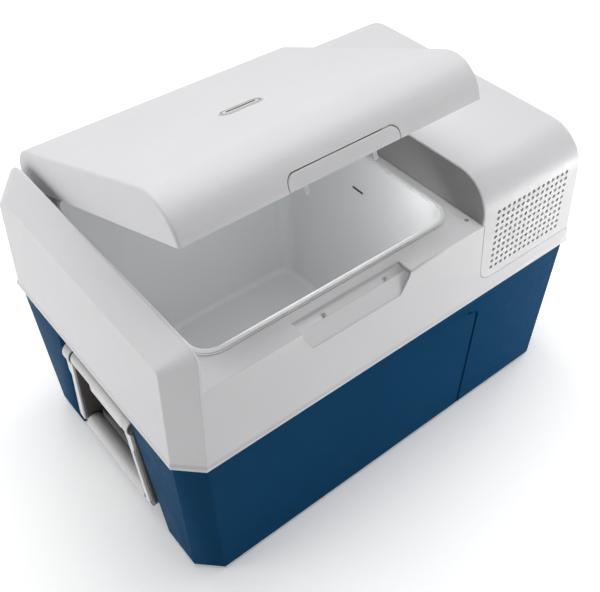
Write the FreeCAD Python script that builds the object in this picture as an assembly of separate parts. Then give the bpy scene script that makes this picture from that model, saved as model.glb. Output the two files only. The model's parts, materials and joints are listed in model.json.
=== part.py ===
"""Compressor cooler: an insulated tub under a lift-up lid, beside a hood over the cooling unit.

Millimetres. +X runs along the length towards the hood, -Y is the front, +Z is up, and the origin
is on the ground under the middle of the body. The lid is held part-open.
"""
import FreeCAD, Part
import math
import os

V = FreeCAD.Vector
X_AXIS, Y_AXIS, Z_AXIS = V(1, 0, 0), V(0, 1, 0), V(0, 0, 1)

# ---- driving dimensions -------------------------------------------------------------------
LENGTH = 695.0            # over the collar, end to end
DEPTH = 446.0             # over the collar, front to back
HEIGHT = 436.0            # ground to the top of the hood
FOOT_HEIGHT = 2.5
FLOOR_THICKNESS = 4.0
LIP_Z = 252.0             # lower edge of the collar, which overhangs the lower shell
LIP_FACE_Z = 256.5        # top of the lip's upright face
SEAM_Z = 260.0            # top of the lip's chamfer, where the walls start to lean in
LIP_FLARE = 2.0           # how far the lip stands out from the walls above it
RIM_Z = 378.0             # ledge that the closed lid comes down to
LEFT_BEVEL = (30.0, 30.0)     # legs along x and y of the bevel on the upright corners, which
RIGHT_BEVEL = (43.0, 32.0)    # carries on over the ends
END_LEAN = 0.055          # inward lean of the collar's ends, mm per mm of height
FRONT_LEAN = 0.031        # inward lean of its front and back
LIP_OVERHANG = 2.5
SHELL_TAPER_X = 6.2       # how much further in the lower shell is at its foot, at each end
SHELL_TAPER_Y = 6.8       # and at front and back
SHELL_WALL = 3.5
WALL = 3.0                # grey mouldings
GAP = 0.3                 # between pieces that stand beside each other
BASE_FILLET = 8.0

CHEEK_X = -305.0          # inner face of the left cheek
CHEEK_ROUNDS = (50.0, 20.0)          # radii of its top corners, back and front
HOOD_X = 113.0            # foot of the hood's wall beside the lid
HOOD_DRAFT = 6.0          # that wall leans this far by the top
HOOD_ROUNDS = (55.0, 55.0)
HOOD_STRAIGHT_X = 286.0              # its section stays the same up to here
HOOD_FOOT_Z = 278.0       # lower edge of the hood's skirt
HOOD_CORNER = 22.0

TUB_X = (-283.0, 94.0)
TUB_Y = (-178.0, 168.0)
TUB_FLOOR_Z = 48.0
TUB_CORNER = 28.0
LINER_WALL = 2.0

LID_X = (-293.0, 110.0)
LID_Y = (-218.5, 216.0)
LID_FOOT_Z = 380.5
LID_ROUNDS = (56.0, 50.0)
LID_EDGE = 3.5                       # rounding of its left edge
LID_OPEN = 22.5           # degrees above closed, as the object stands
PLUG_X = (-276.0, 87.0)   # part of the lid's lining that dips into the tub
PLUG_Y = (-170.0, 160.0)
PLUG_Z = 368.0
FLANGE_Z = (384.5, 387.0)
HINGE_Y, HINGE_Z = 214.0, 382.6
HINGE_XS = (-215.0, 25.0)
HINGE_SCREW_Y = 196.0
KNUCKLE_RADIUS = 3.8
PIN_RADIUS = 1.6

BADGE_X, BADGE_Y = -97.0, -50.0
BADGE_HALF = (29.0, 11.5)

LATCH_X = (-162.0, -13.0)
LATCH_TOP_Z = 398.0
LATCH_CORNER = 12.0
LATCH_PIN_Y, LATCH_PIN_Z = -211.0, 392.0
LATCH_RIB_XS = (-136.0, -42.0)
STRIKE_Y = (-210.3, -203.9)           # reach of the pocket for a hook, front to back
STRIKE_FLOOR_Z = 363.0
SHELF_Z = 374.0                      # floor of the latch recess, where the hooks catch
HOOK_Z = 366.0

GRILLE_COLUMNS, GRILLE_ROWS = 15, 10
GRILLE_X, GRILLE_Z = (141.0, 273.0), (295.0, 387.0)
GRILLE_HOLE = 5.6

HANDLE_X, HANDLE_Z = 333.5, 205.0    # pivot of a bail
BARREL_RADIUS = 13.5
BAIL_BORE = 4.05
ARM_DEPTH = 15.0                     # how far a bail's arm reaches inward from the pivot
EAR_CAP_RADIUS = 15.8
GRIP_Z = 53.0
GRIP_RADIUS = 12.5
POCKET_X = 311.0                     # back wall of a handle pocket

FAN_X, FAN_Z = 207.0, 343.0
FAN_Y = (-204.0, -181.0)
FAN_SIZE = 110.0

PANEL_Z = 340.0
BUTTON_YS = (-82.0, -66.0, -50.0, -34.0)
BUTTON_NAMES = ("power_button", "mode_button", "down_button", "up_button")
INLETS = {"dc_inlet": (60.0, 13.0, 9.0), "mains_inlet": (108.0, 15.0, 11.0)}   # y, half sizes
END_TILT = math.degrees(math.atan(END_LEAN))

COMPRESSOR_X, COMPRESSOR_Y, COMPRESSOR_RADIUS = 215.0, 85.0, 62.0
COMPRESSOR_Z = (30.0, 186.0)
COMPRESSOR_FEET = [(COMPRESSOR_X + sx * 62, COMPRESSOR_Y + sy * 52) for sx in (-1, 1) for sy in (-1, 1)]
CONDENSER_X, CONDENSER_Y, CONDENSER_Z = (140.0, 276.0), (-172.0, -142.0), (288.0, 396.0)
SUCTION_LINE = [(102, 60, 250), (140, 60, 250), (140, 60, 150), (156, 60, 150)]
CAPILLARY = [(102, 20, 290), (134, 20, 290), (134, -100, 290), (134, -100, 212)]
FOOT_SPOTS = [(sx * 285.0, sy * 172.0) for sx in (-1, 1) for sy in (-1, 1)]
SHELL_FLOOR_Z = FOOT_HEIGHT + FLOOR_THICKNESS


# ---- helpers ------------------------------------------------------------------------------
def half_length(z):
    return LENGTH / 2 - END_LEAN * (z - SEAM_Z)


def half_depth(z):
    return DEPTH / 2 - FRONT_LEAN * (z - SEAM_Z)


def box(x, y, z):
    """Box from (low, high) pairs."""
    return Part.makeBox(x[1] - x[0], y[1] - y[0], z[1] - z[0], V(x[0], y[0], z[0]))


def rod(radius, start, end):
    run = V(*end) - V(*start)
    return Part.makeCylinder(radius, run.Length, V(*start), run)


def rounded_edges(corners, closed):
    """Edges through (point, radius) corners, with an arc at each corner whose radius isn't 0."""
    count = len(corners)
    entries, exits, arcs = [], [], []
    for i, (point, radius) in enumerate(corners):
        if radius == 0:
            entries.append(point)
            exits.append(point)
            arcs.append(None)
            continue
        back = (corners[i - 1][0] - point).normalize()
        ahead = (corners[(i + 1) % count][0] - point).normalize()
        half_angle = back.getAngle(ahead) / 2
        reach = radius / math.tan(half_angle)
        middle = point + (back + ahead).normalize() * (radius / math.sin(half_angle) - radius)
        entries.append(point + back * reach)
        exits.append(point + ahead * reach)
        arcs.append(Part.Arc(entries[i], middle, exits[i]).toShape())
    edges = []
    for i in range(count):
        if arcs[i]:
            edges.append(arcs[i])
        following = entries[(i + 1) % count]
        if (closed or i + 1 < count) and exits[i].distanceToPoint(following) > 1e-6:
            edges.append(Part.LineSegment(exits[i], following).toShape())
    return edges


def rounded_wire(corners):
    return Part.Wire(rounded_edges(corners, True))


def prism(plane, corners, low, high):
    """Solid of a closed outline in plane xy, xz or yz, between low and high on the third axis.

    A corner is (a, b) or (a, b, radius).
    """
    place = {
        "xy": lambda a, b: V(a, b, low),
        "xz": lambda a, b: V(a, low, b),
        "yz": lambda a, b: V(low, a, b),
    }[plane]
    along = {"xy": Z_AXIS, "xz": Y_AXIS, "yz": X_AXIS}[plane]
    wire = rounded_wire([(place(c[0], c[1]), c[2] if len(c) > 2 else 0) for c in corners])
    return Part.Face(wire).extrude(along * (high - low))


def rectangle(a, b, radius):
    return [(a[0], b[0], radius), (a[1], b[0], radius), (a[1], b[1], radius), (a[0], b[1], radius)]


def grown(pair, by):
    return (pair[0] - by, pair[1] + by)


def edges_below(shape, z):
    return [edge for edge in shape.Edges if edge.BoundBox.ZMax < z]


def loft(*wires):
    return Part.makeLoft(list(wires), True, True)


def bevel_legs(side, inset):
    """Legs of the bevel at an end, drawn in by inset so that the wall keeps its thickness."""
    a, b = RIGHT_BEVEL if side > 0 else LEFT_BEVEL
    scale = 1 - inset * (1 / a + 1 / b - math.hypot(1 / a, 1 / b))
    return a * scale, b * scale


def plan(half_x, half_y, z, inset):
    """Rectangle with bevelled corners, at height z."""
    corners = []
    for sx, sy in ((1, -1), (1, 1), (-1, 1), (-1, -1)):
        leg_x, leg_y = bevel_legs(sx, inset)
        side = V(sx * half_x, sy * (half_y - leg_y), z)
        end = V(sx * (half_x - leg_x), sy * half_y, z)
        corners += [(end, 0), (side, 0)] if sx * sy < 0 else [(side, 0), (end, 0)]
    return rounded_wire(corners)


def section(x_at, front, back, low, top, radii):
    """Upright section in the plane x = x_at(z), with its back and front top corners rounded.

    front and back give y at a height.
    """
    return rounded_wire([
        (V(x_at(low), front(low), low), 0),
        (V(x_at(low), back(low), low), 0),
        (V(x_at(top), back(top), top), radii[0]),
        (V(x_at(top), front(top), top), radii[1]),
    ])


def less(radii, inset):
    return [radius - inset for radius in radii]


def turned(shape, degrees, centre, axis):
    moved = shape.copy()
    moved.rotate(V(*centre), axis, degrees)
    return moved


def mirrored(shape):
    """The same piece at the other end."""
    return shape.mirror(V(0, 0, 0), X_AXIS)


def tube_run(points, radius, bend):
    """Round pipe through points, with tangent bends of one radius."""
    corners = [(V(*p), bend if 0 < i < len(points) - 1 else 0) for i, p in enumerate(points)]
    path = Part.Wire(rounded_edges(corners, False))
    ring = Part.Wire(Part.makeCircle(radius, corners[0][0], corners[1][0] - corners[0][0]))
    return path.makePipeShell([ring], True, True)


def screw(head_radius, shank_radius, seat, direction, length):
    """Pan-head screw with a cross slot. direction points from the head into the work."""
    run = V(*direction)
    base = V(*seat)
    head_height = 0.6 * head_radius
    head = Part.makeCylinder(head_radius, head_height, base - run * head_height, run)
    shank = Part.makeCylinder(shank_radius, length, base, run)
    slot = Part.makeBox(head_radius * 1.3, 0.7, 0.8, V(-head_radius * 0.65, -0.35, 0))
    cross = slot.fuse(turned(slot, 90, (0, 0, 0), Z_AXIS))
    cross.Placement = FreeCAD.Placement(base - run * head_height, FreeCAD.Rotation(Z_AXIS, run))
    return head.fuse(shank).cut(cross)


def on_right_end(shape, y, z):
    """Place a piece drawn about the origin, +X outward, on the hood's leaning right end face."""
    moved = turned(shape, -END_TILT, (0, 0, 0), Y_AXIS)
    moved.translate(V(half_length(z), y, z))
    return moved


def opened(shape):
    """Swing a piece drawn with the lid closed up to the part-open lid."""
    return turned(shape, -LID_OPEN, (0, HINGE_Y, HINGE_Z), X_AXIS)


# ---- lower body ---------------------------------------------------------------------------
def lower_solid(inset, low, top=LIP_FACE_Z - 1.0):
    """Tapered lower body, drawn in by inset, from height low to just inside the lip."""
    def at(z):
        foot = (LIP_Z - z) / (LIP_Z - FOOT_HEIGHT)
        half_x = LENGTH / 2 - LIP_OVERHANG - SHELL_TAPER_X * foot - inset
        half_y = DEPTH / 2 - LIP_OVERHANG - SHELL_TAPER_Y * foot - inset
        return plan(half_x, half_y, z, inset)
    return loft(at(low), at(top))


def pocket(grow, back):
    """Handle pocket at the right end, open at the foot; grow widens it for its walls."""
    corners = [(-124 - grow, -6), (124 + grow, -6),
               (94 + grow, 234 + grow, 8), (-94 - grow, 234 + grow, 8)]
    return prism("yz", corners, back, LENGTH)


def groove_band(x, top_z, radius, width):
    """L-shaped band that runs down the front and turns towards -X at its top."""
    def leg(inward):
        edge = x - inward
        return prism("xz", [(x - 60, top_z - inward), (edge, top_z - inward, radius - inward),
                            (edge - 3, -10), (x - 60, -10)], -DEPTH, 0)
    return leg(0).cut(leg(width)).common(box((x - 23, x + 5), (-DEPTH, 0), (-10, top_z + 5)))


def lower_shell():
    outer = lower_solid(0, FOOT_HEIGHT)
    outer = outer.makeFillet(BASE_FILLET, edges_below(outer, FOOT_HEIGHT + 0.1))
    inner = lower_solid(SHELL_WALL, SHELL_FLOOR_Z, SEAM_Z)
    for wall in (pocket(WALL, POCKET_X - WALL), mirrored(pocket(WALL, POCKET_X - WALL))):
        inner = inner.cut(wall)
    shell = outer.cut(inner)
    for void in (pocket(0, POCKET_X), mirrored(pocket(0, POCKET_X))):
        shell = shell.cut(void)
    shell = shell.cut(groove_band(136.0, 224.0, 22.0, 5.0).cut(lower_solid(2.2, -20)))
    for x, y in FOOT_SPOTS:
        shell = shell.cut(rod(2.2, (x, y, 0), (x, y, 20)))
    return shell


def rubber_foot(x, y):
    pad = Part.makeCone(15.0, 17.0, FOOT_HEIGHT - GAP, V(x, y, 0))
    stem = rod(1.9, (x, y, FOOT_HEIGHT - GAP - 0.5), (x, y, FOOT_HEIGHT + 4.6))
    barb = Part.makeCone(3.4, 1.6, 3.0, V(x, y, FOOT_HEIGHT + 4.4))
    return pad.fuse(stem).fuse(barb)


# ---- collar -------------------------------------------------------------------------------
def collar_band(inset, low, top):
    """Octagonal band of the collar, drawn in by inset, with the lip that flares at its foot."""
    def at(z, flare=0.0):
        level = max(z, SEAM_Z)
        out = flare - inset
        return plan(half_length(level) + out, half_depth(level) + out, z, inset)
    if low >= SEAM_Z:
        return loft(at(low), at(top))
    lip = loft(at(low, LIP_FLARE), at(LIP_FACE_Z, LIP_FLARE))
    chamfer = loft(at(LIP_FACE_Z, LIP_FLARE), at(SEAM_Z))
    return lip.fuse([chamfer, loft(at(SEAM_Z), at(top))])


def wall_section(x_at, inset, low, top, radii, shoulder=0.0):
    """Section whose front and back follow the collar's leaning walls, drawn in by inset."""
    def side(z):
        return half_depth(z) - inset - shoulder
    return section(x_at, lambda z: -side(z), side, low, top - shoulder, radii)


def end_sections(side, inset, low, radii):
    """The two sections that bound the bevel over an end: its inner and its outer edge."""
    top = HEIGHT - inset
    leg, shoulder = bevel_legs(side, inset)
    room = top - shoulder - low - 2.0
    tighter = [min(max(radius - 12, 6), room) for radius in radii]
    inner = wall_section(lambda z: side * (half_length(z) - inset - leg), inset, low, top, radii)
    outer = wall_section(lambda z: side * (half_length(z) - inset), inset, low, top, tighter, shoulder)
    return inner, outer


def cheek_solid(inset, low):
    start = CHEEK_X - inset
    radii = less(CHEEK_ROUNDS, inset / 2)
    first = wall_section(lambda z: start, inset, low, HEIGHT - inset, radii)
    return loft(first, *end_sections(-1, inset, low, radii))


def tub_outline(grow):
    return rectangle(grown(TUB_X, grow), grown(TUB_Y, grow), TUB_CORNER + grow)


def hood_region(gap):
    """All that lies right of the hood's front joint, whose lower left corner is rounded."""
    far = LENGTH
    skirt = prism("xz", [(115.7 + gap, RIM_Z + 5), (115.7 + gap, RIM_Z + gap),
                         (121.7 + gap, HOOD_FOOT_Z + gap, HOOD_CORNER),
                         (far, HOOD_FOOT_Z + gap), (far, RIM_Z + 5)], -DEPTH, DEPTH)
    return skirt.fuse(box((100, far), (-DEPTH, DEPTH), (RIM_Z + gap, 2 * HEIGHT)))


def latch_recess(grow):
    """Finger recess under the lid's front edge, with a shelf for the latch hooks."""
    top = RIM_Z + 20
    profile = [(-240, 346 - grow), (-219.9 + grow, 346 - grow), (-211 + grow, SHELF_Z - 2 - grow),
               (-198 + grow, SHELF_Z - grow), (-198 + grow, top), (-240, top)]
    ends = [(-176 - grow, top), (-176 - grow, 370), (-162 - grow, 346 - grow),
            (-26 + grow, 346 - grow), (-12 + grow, 370), (-12 + grow, top)]
    return prism("yz", profile, -200, 0).common(prism("xz", ends, -240, -190))


def strike_boss(x):
    """Block under the recess floor that holds the blind pocket for one hook."""
    return box((x - 6, x + 6), grown(STRIKE_Y, 1.6), (STRIKE_FLOOR_Z - 2, SHELF_Z - 3))


def upper_frame():
    band = collar_band(0, LIP_Z, RIM_Z).cut(collar_band(WALL, LIP_Z - 1, RIM_Z - WALL))
    cheek = cheek_solid(0, RIM_Z).cut(cheek_solid(WALL, RIM_Z - 1))
    frame = band.cut(cheek_solid(WALL, RIM_Z - WALL - 1)).fuse(cheek)
    backing = latch_recess(WALL).common(collar_band(0.5, SEAM_Z, RIM_Z))
    frame = frame.fuse([backing] + [strike_boss(x) for x in LATCH_RIB_XS]).cut(latch_recess(0))
    frame = frame.cut(prism("xy", tub_outline(0), RIM_Z - 10, RIM_Z + 10))
    ledge_end = box((116.0, LENGTH), (-DEPTH, DEPTH), (RIM_Z - WALL - 1, RIM_Z + 1))
    frame = frame.cut(hood_region(-GAP)).cut(ledge_end)
    for x in LATCH_RIB_XS:
        frame = frame.cut(box((x - 3.4, x + 3.4), STRIKE_Y, (STRIKE_FLOOR_Z, RIM_Z)))
    for x in HINGE_XS:
        for screw_x in hinge_screw_xs(x):
            frame = frame.cut(hinge_screw_hole(screw_x))
    return frame


# ---- hood ---------------------------------------------------------------------------------
def hood_wall_x(z):
    return HOOD_X + (z - RIM_Z) * HOOD_DRAFT / (HEIGHT - RIM_Z)


def hood_solid(inset, low, start):
    """Hood drawn in by inset, from the leaning plane x = start(z) to the right end."""
    radii = less(HOOD_ROUNDS, inset)
    first = wall_section(start, inset, low, HEIGHT - inset, radii)
    last = wall_section(lambda z: HOOD_STRAIGHT_X, inset, low, HEIGHT - inset, radii)
    return loft(first, last, *end_sections(1, inset, low, radii))


def grille_holes():
    holes = []
    for column in range(GRILLE_COLUMNS):
        x = GRILLE_X[0] + (GRILLE_X[1] - GRILLE_X[0]) * column / (GRILLE_COLUMNS - 1)
        for row in range(GRILLE_ROWS):
            z = GRILLE_Z[0] + (GRILLE_Z[1] - GRILLE_Z[0]) * row / (GRILLE_ROWS - 1)
            holes.append(rod(GRILLE_HOLE / 2, (x, -230, z), (x, -207, z)))
    return Part.makeCompound(holes)


def rear_vents():
    """Warm-air slots in the hood's back."""
    slots = [box((x - 2, x + 2), (205, 230), (300, 366)) for x in range(160, 281, 10)]
    return Part.makeCompound(slots)


def end_opening(y, half_y, half_z):
    return on_right_end(box((-20, 20), (-half_y, half_y), (-half_z, half_z)), y, PANEL_Z)


def hood_cover():
    outer = hood_solid(0, HOOD_FOOT_Z, hood_wall_x).common(hood_region(0))
    cover = outer.cut(hood_solid(WALL, HOOD_FOOT_Z - 5, lambda z: 60.0))
    cover = cover.cut(grille_holes()).cut(rear_vents())
    cover = cover.cut(end_opening(-58, 42, 24))
    for y, half_y, half_z in INLETS.values():
        cover = cover.cut(end_opening(y, half_y, half_z))
    return cover


def hood_side_wall():
    inset = WALL + GAP
    low, top, radii = RIM_Z + GAP, HEIGHT - inset, less(HOOD_ROUNDS, inset)
    return loft(wall_section(lambda z: hood_wall_x(z) + 0.4, inset, low, top, radii),
                wall_section(lambda z: hood_wall_x(z) + 2.9, inset, low, top, radii))


# ---- tub and insulation -------------------------------------------------------------------
def tub_box(grow, low, top):
    return prism("xy", tub_outline(grow), low, top)


def inner_liner():
    """White tub whose rim turns out over the collar's ledge."""
    outer = tub_box(-GAP, TUB_FLOOR_Z - LINER_WALL, RIM_Z + GAP + 0.1)
    flange = tub_box(7.0, RIM_Z + GAP, RIM_Z + GAP + 1.2)
    cavity = tub_box(-GAP - LINER_WALL, TUB_FLOOR_Z, RIM_Z + 10)
    cavity = cavity.makeFillet(10.0, edges_below(cavity, TUB_FLOOR_Z + 0.1))
    tub = outer.fuse(flange).cut(cavity)
    return tub.cut(box((TUB_X[1] - 5, TUB_X[1] + 2), (-19, 3), (317.0, 321.0)))


def rim_trim():
    """Bead that finishes the liner's rim."""
    low = RIM_Z + GAP + 1.3
    return tub_box(5.5, low, low + 1.3).cut(tub_box(0.5, low - 1, low + 3))


def sensor_cover():
    bezel = box((TUB_X[1] - 2.2, TUB_X[1] - 0.5), (-18.7, 2.7), (317.3, 320.7))
    for y in (-16.5, -11.5, -6.5, -1.5):
        bezel = bezel.cut(box((80, 100), (y, y + 2.4), (318.3, 319.7)))
    return bezel


def evaporator():
    """Plate wrapped round the tub, with its refrigerant channels."""
    plate = tub_box(1.4, 110, 330).cut(tub_box(GAP, 100, 340))
    for z in (130, 170, 210, 250, 290):
        plate = plate.fuse(tub_box(4.6, z, z + 5).cut(tub_box(1.2, z - 1, z + 6)))
    return plate


def insulation_foam():
    lower = lower_solid(SHELL_WALL + GAP, SHELL_FLOOR_Z + 4, SEAM_Z + 1)
    upper = collar_band(WALL + GAP, SEAM_Z + 1, RIM_Z - WALL - GAP)
    foam = lower.fuse(upper).common(box((-400, 112), (-300, 300), (0, 400)))
    foam = foam.cut(tub_box(0, TUB_FLOOR_Z - LINER_WALL - GAP, RIM_Z))
    foam = foam.cut(tub_box(5.0, 105, 335))
    foam = foam.cut(mirrored(pocket(WALL + GAP, POCKET_X - WALL - GAP)))
    foam = foam.cut(latch_recess(WALL + GAP))
    for x in LATCH_RIB_XS:
        foam = foam.cut(box((x - 7, x + 7), grown(STRIKE_Y, 3), (STRIKE_FLOOR_Z - 3, 380)))
    for line in (SUCTION_LINE, CAPILLARY):
        x, y, z = line[0]
        foam = foam.cut(rod(4.5, (90, y, z), (130, y, z)))
    return foam


def bulkhead():
    """Sheet between the insulation and the machine bay."""
    half = half_depth(RIM_Z) - 9
    sheet = box((112.4, 113.6), (-half, half), (14, RIM_Z - WALL - 0.5))
    for line in (SUCTION_LINE, CAPILLARY):
        x, y, z = line[0]
        sheet = sheet.cut(rod(5.0, (x - 2, y, z), (130, y, z)))
    return sheet


# ---- lid ----------------------------------------------------------------------------------
def lid_right_x(z):
    return LID_X[1] + (z - RIM_Z) * HOOD_DRAFT / (HEIGHT - RIM_Z)


def lid_solid(inset, low):
    """Closed lid drawn in by inset, from height low to its top."""
    top, radii = HEIGHT - inset, less(LID_ROUNDS, inset)

    def front(z):
        return LID_Y[0] + FRONT_LEAN * (z - LID_FOOT_Z) + inset

    def back(z):
        return LID_Y[1] - FRONT_LEAN * (z - LID_FOOT_Z) - inset

    return loft(section(lambda z: LID_X[0] + inset, front, back, low, top, radii),
                section(lambda z: lid_right_x(z) - inset, front, back, low, top, radii))


def latch_window(gap):
    """Outline of the pull flap on the lid's front, grown by gap."""
    x0, x1 = grown(LATCH_X, gap)
    top = LATCH_TOP_Z + 1.6 * gap
    outline = [(x0, 370), (x1, 370), (x1, top, LATCH_CORNER), (x0, top, LATCH_CORNER)]
    return prism("xz", outline, -230, -205)


def hinge_notch(x):
    """Room for one hinge in the lid's lower back edge."""
    return box((x - 27, x + 27), (206, 220), (370, HINGE_Z + 5.0))


def lid_outer():
    shell = lid_solid(0, LID_FOOT_Z)
    left_edges = [edge for edge in shell.Edges
                  if edge.BoundBox.XMax < LID_X[0] + 0.1 and edge.BoundBox.ZMax > LID_FOOT_Z + 1]
    shell = shell.makeFillet(LID_EDGE, left_edges)
    shell = shell.cut(lid_solid(WALL, LID_FOOT_Z - 5))
    shell = shell.cut(latch_window(1.0))
    for x in HINGE_XS:
        shell = shell.cut(hinge_notch(x))
    return shell.cut(badge_plate(0.9, 1.2))


def badge_plate(gap, depth):
    half_x, half_y = BADGE_HALF[0] + gap, BADGE_HALF[1] + gap
    outline = rectangle((BADGE_X - half_x, BADGE_X + half_x), (BADGE_Y - half_y, BADGE_Y + half_y),
                        half_y - 0.01)
    return prism("xy", outline, HEIGHT - depth, HEIGHT + 0.6)


def along_latch_pin(radius, x0, x1):
    return rod(radius, (x0, LATCH_PIN_Y, LATCH_PIN_Z), (x1, LATCH_PIN_Y, LATCH_PIN_Z))


def latch_cavity():
    """Space behind the pull flap."""
    return box((LATCH_X[0] - 6, LATCH_X[1] + 6), (-230, -199), (370, LATCH_TOP_Z + 5))


def lid_inner():
    """White lining: a flange inside the lid's skirt and a shallow plug that dips into the tub."""
    inset = WALL + GAP
    flange = lid_solid(inset, FLANGE_Z[0] - 6).common(box((-400, 400), (-300, 205), FLANGE_Z))
    outline = rectangle(PLUG_X, PLUG_Y, TUB_CORNER - 6)
    plug = prism("xy", outline, PLUG_Z, FLANGE_Z[1])
    hollow = prism("xy", rectangle(grown(PLUG_X, -2.5), grown(PLUG_Y, -2.5), TUB_CORNER - 8.5),
                   PLUG_Z + 2.5, FLANGE_Z[1] + 5)
    return flange.fuse(plug).cut(hollow).cut(latch_cavity())


def lid_foam():
    foam = lid_solid(WALL + GAP, FLANGE_Z[1] - 5)
    foam = foam.common(box((-400, 400), (-300, 204), (FLANGE_Z[1] + GAP, 500)))
    fill = prism("xy", rectangle(grown(PLUG_X, -2.8), grown(PLUG_Y, -2.8), TUB_CORNER - 8.8),
                 PLUG_Z + 2.8, FLANGE_Z[1] + 6)
    foam = foam.fuse(fill).cut(latch_cavity())
    foam = foam.cut(badge_plate(0.6, 5.0))
    for x in (LATCH_X[0] - 3, LATCH_X[1] + 3):
        foam = foam.cut(along_latch_pin(5.0, x - 10, x + 10))
    return foam


def lid_gasket():
    low = RIM_Z + GAP + 1.3 + 1.3 + 0.25
    high = FLANGE_Z[0] - 0.1
    ring = prism("xy", rectangle(grown(TUB_X, 5.0), grown(TUB_Y, 5.0), TUB_CORNER), low, high)
    mouth = rectangle(grown(TUB_X, -1.0), grown(TUB_Y, -1.0), TUB_CORNER - 6)
    return ring.cut(prism("xy", mouth, 300, 450))


def latch_flap():
    """Pull flap: a piece of the lid's front skin with two ribs that carry the hooks."""
    skin = lid_solid(0, LID_FOOT_Z + 0.2).cut(lid_solid(WALL, LID_FOOT_Z - 5))
    flap = skin.common(latch_window(0))
    profile = [(-216.2, 384), (-206.9, 380), (-206.9, HOOK_Z + 1), (-204.4, HOOK_Z),
               (-204.4, HOOK_Z + 2), (-205.4, HOOK_Z + 3.5), (-205.4, 383), (-206.5, 386),
               (-206.5, LATCH_PIN_Z + 3.5), (-214.2, LATCH_PIN_Z + 4.5)]
    for x in LATCH_RIB_XS:
        flap = flap.fuse(prism("yz", profile, x - 3, x + 3))
    return flap.cut(along_latch_pin(PIN_RADIUS + 0.05, LATCH_X[0], LATCH_X[1]))


def latch_bracket():
    """Carrier on the lid's lining that holds the flap's pin at both ends and in the middle."""
    low, high = LATCH_PIN_Z - 8, LATCH_PIN_Z + 9
    profile = [(-214, LATCH_PIN_Z - 3.5), (-199.4, low), (-199.4, high), (-210.5, LATCH_PIN_Z + 4.5, 2)]
    plates = [prism("yz", profile, rib_x + side * 9 - 2.5, rib_x + side * 9 + 2.5)
              for rib_x in LATCH_RIB_XS for side in (-1, 1)]
    rail = box((LATCH_RIB_XS[0] - 20, LATCH_RIB_XS[1] + 20), (-201.8, -199.3), (low - 0.5, high + 0.5))
    return rail.fuse(plates).cut(along_latch_pin(PIN_RADIUS + 0.02, -200, 10))


def latch_pin():
    return along_latch_pin(PIN_RADIUS, LATCH_RIB_XS[0] - 13, LATCH_RIB_XS[1] + 13)


def latch_spring():
    """Torsion spring coiled round the pin, with its leg on the carrier."""
    middle = sum(LATCH_RIB_XS) / 2
    coil_radius, wire_radius, pitch, turns = 2.6, 0.45, 1.2, 8
    coil = Part.makeHelix(pitch, pitch * turns, coil_radius)
    start = Part.Wire(Part.makeCircle(wire_radius, V(coil_radius, 0, 0), Y_AXIS))
    spring = Part.Wire(coil).makePipeShell([start], True, True)
    spring = spring.fuse(rod(wire_radius, (coil_radius, 0, pitch * turns), (coil_radius, 8.7, pitch * turns)))
    spring = turned(spring, 90, (0, 0, 0), Y_AXIS)
    spring.translate(V(middle - pitch * turns / 2, LATCH_PIN_Y, LATCH_PIN_Z))
    return spring


# ---- lid hinges ---------------------------------------------------------------------------
def knuckle(x0, x1):
    return rod(KNUCKLE_RADIUS, (x0, HINGE_Y, HINGE_Z), (x1, HINGE_Y, HINGE_Z))


def hinge_bore(x):
    return rod(PIN_RADIUS + 0.05, (x - 40, HINGE_Y, HINGE_Z), (x + 40, HINGE_Y, HINGE_Z))


def hinge_screw_xs(x):
    return (x - 15, x + 15)


def hinge_screw_hole(x):
    return rod(1.6, (x, HINGE_SCREW_Y, RIM_Z - WALL - 1), (x, HINGE_SCREW_Y, RIM_Z + 3))


def hinge_screw(x):
    return screw(3.4, 1.5, (x, HINGE_SCREW_Y, RIM_Z + 1.7), (0, 0, -1), 4.4)


def body_leaf(x):
    """Leaf screwed to the collar's ledge, with the two outer knuckles."""
    plate_z = (RIM_Z + 0.1, RIM_Z + 1.7)
    leaf = box((x - 24, x + 24), (188, HINGE_Y - 2), plate_z)
    for x0, x1 in ((x - 24, x - 9), (x + 9, x + 24)):
        web = box((x0, x1), (HINGE_Y - 6, HINGE_Y - 1), (RIM_Z + 0.1, HINGE_Z))
        leaf = leaf.fuse(knuckle(x0, x1)).fuse(web)
    leaf = leaf.cut(hinge_bore(x))
    for screw_x in hinge_screw_xs(x):
        leaf = leaf.cut(hinge_screw_hole(screw_x))
    return leaf.cut(box((x - 8.7, x + 8.7), (HINGE_Y - KNUCKLE_RADIUS - 1.0, 222), (RIM_Z, HINGE_Z + 8)))


def lid_leaf(x):
    """Leaf inside the lid's back wall, joined to the middle knuckle by a bent web."""
    across = (206.5, 208.2)
    plate = box((x - 22, x + 22), across, (HINGE_Z + 5.9, 399))
    neck = box((x - 8.2, x + 8.2), across, (HINGE_Z + 1.8, 399))
    web = box((x - 8.2, x + 8.2), (across[0], HINGE_Y - 2), (HINGE_Z + 1.8, HINGE_Z + 3.4))
    return plate.fuse([neck, web, knuckle(x - 8.2, x + 8.2)]).cut(hinge_bore(x))


def hinge_pin(x):
    return rod(PIN_RADIUS, (x - 23, HINGE_Y, HINGE_Z), (x + 23, HINGE_Y, HINGE_Z))


# ---- handles, drawn at the right end ------------------------------------------------------
def along_handle_axis(radius, half_y):
    return rod(radius, (HANDLE_X, -half_y, HANDLE_Z), (HANDLE_X, half_y, HANDLE_Z))


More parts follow.
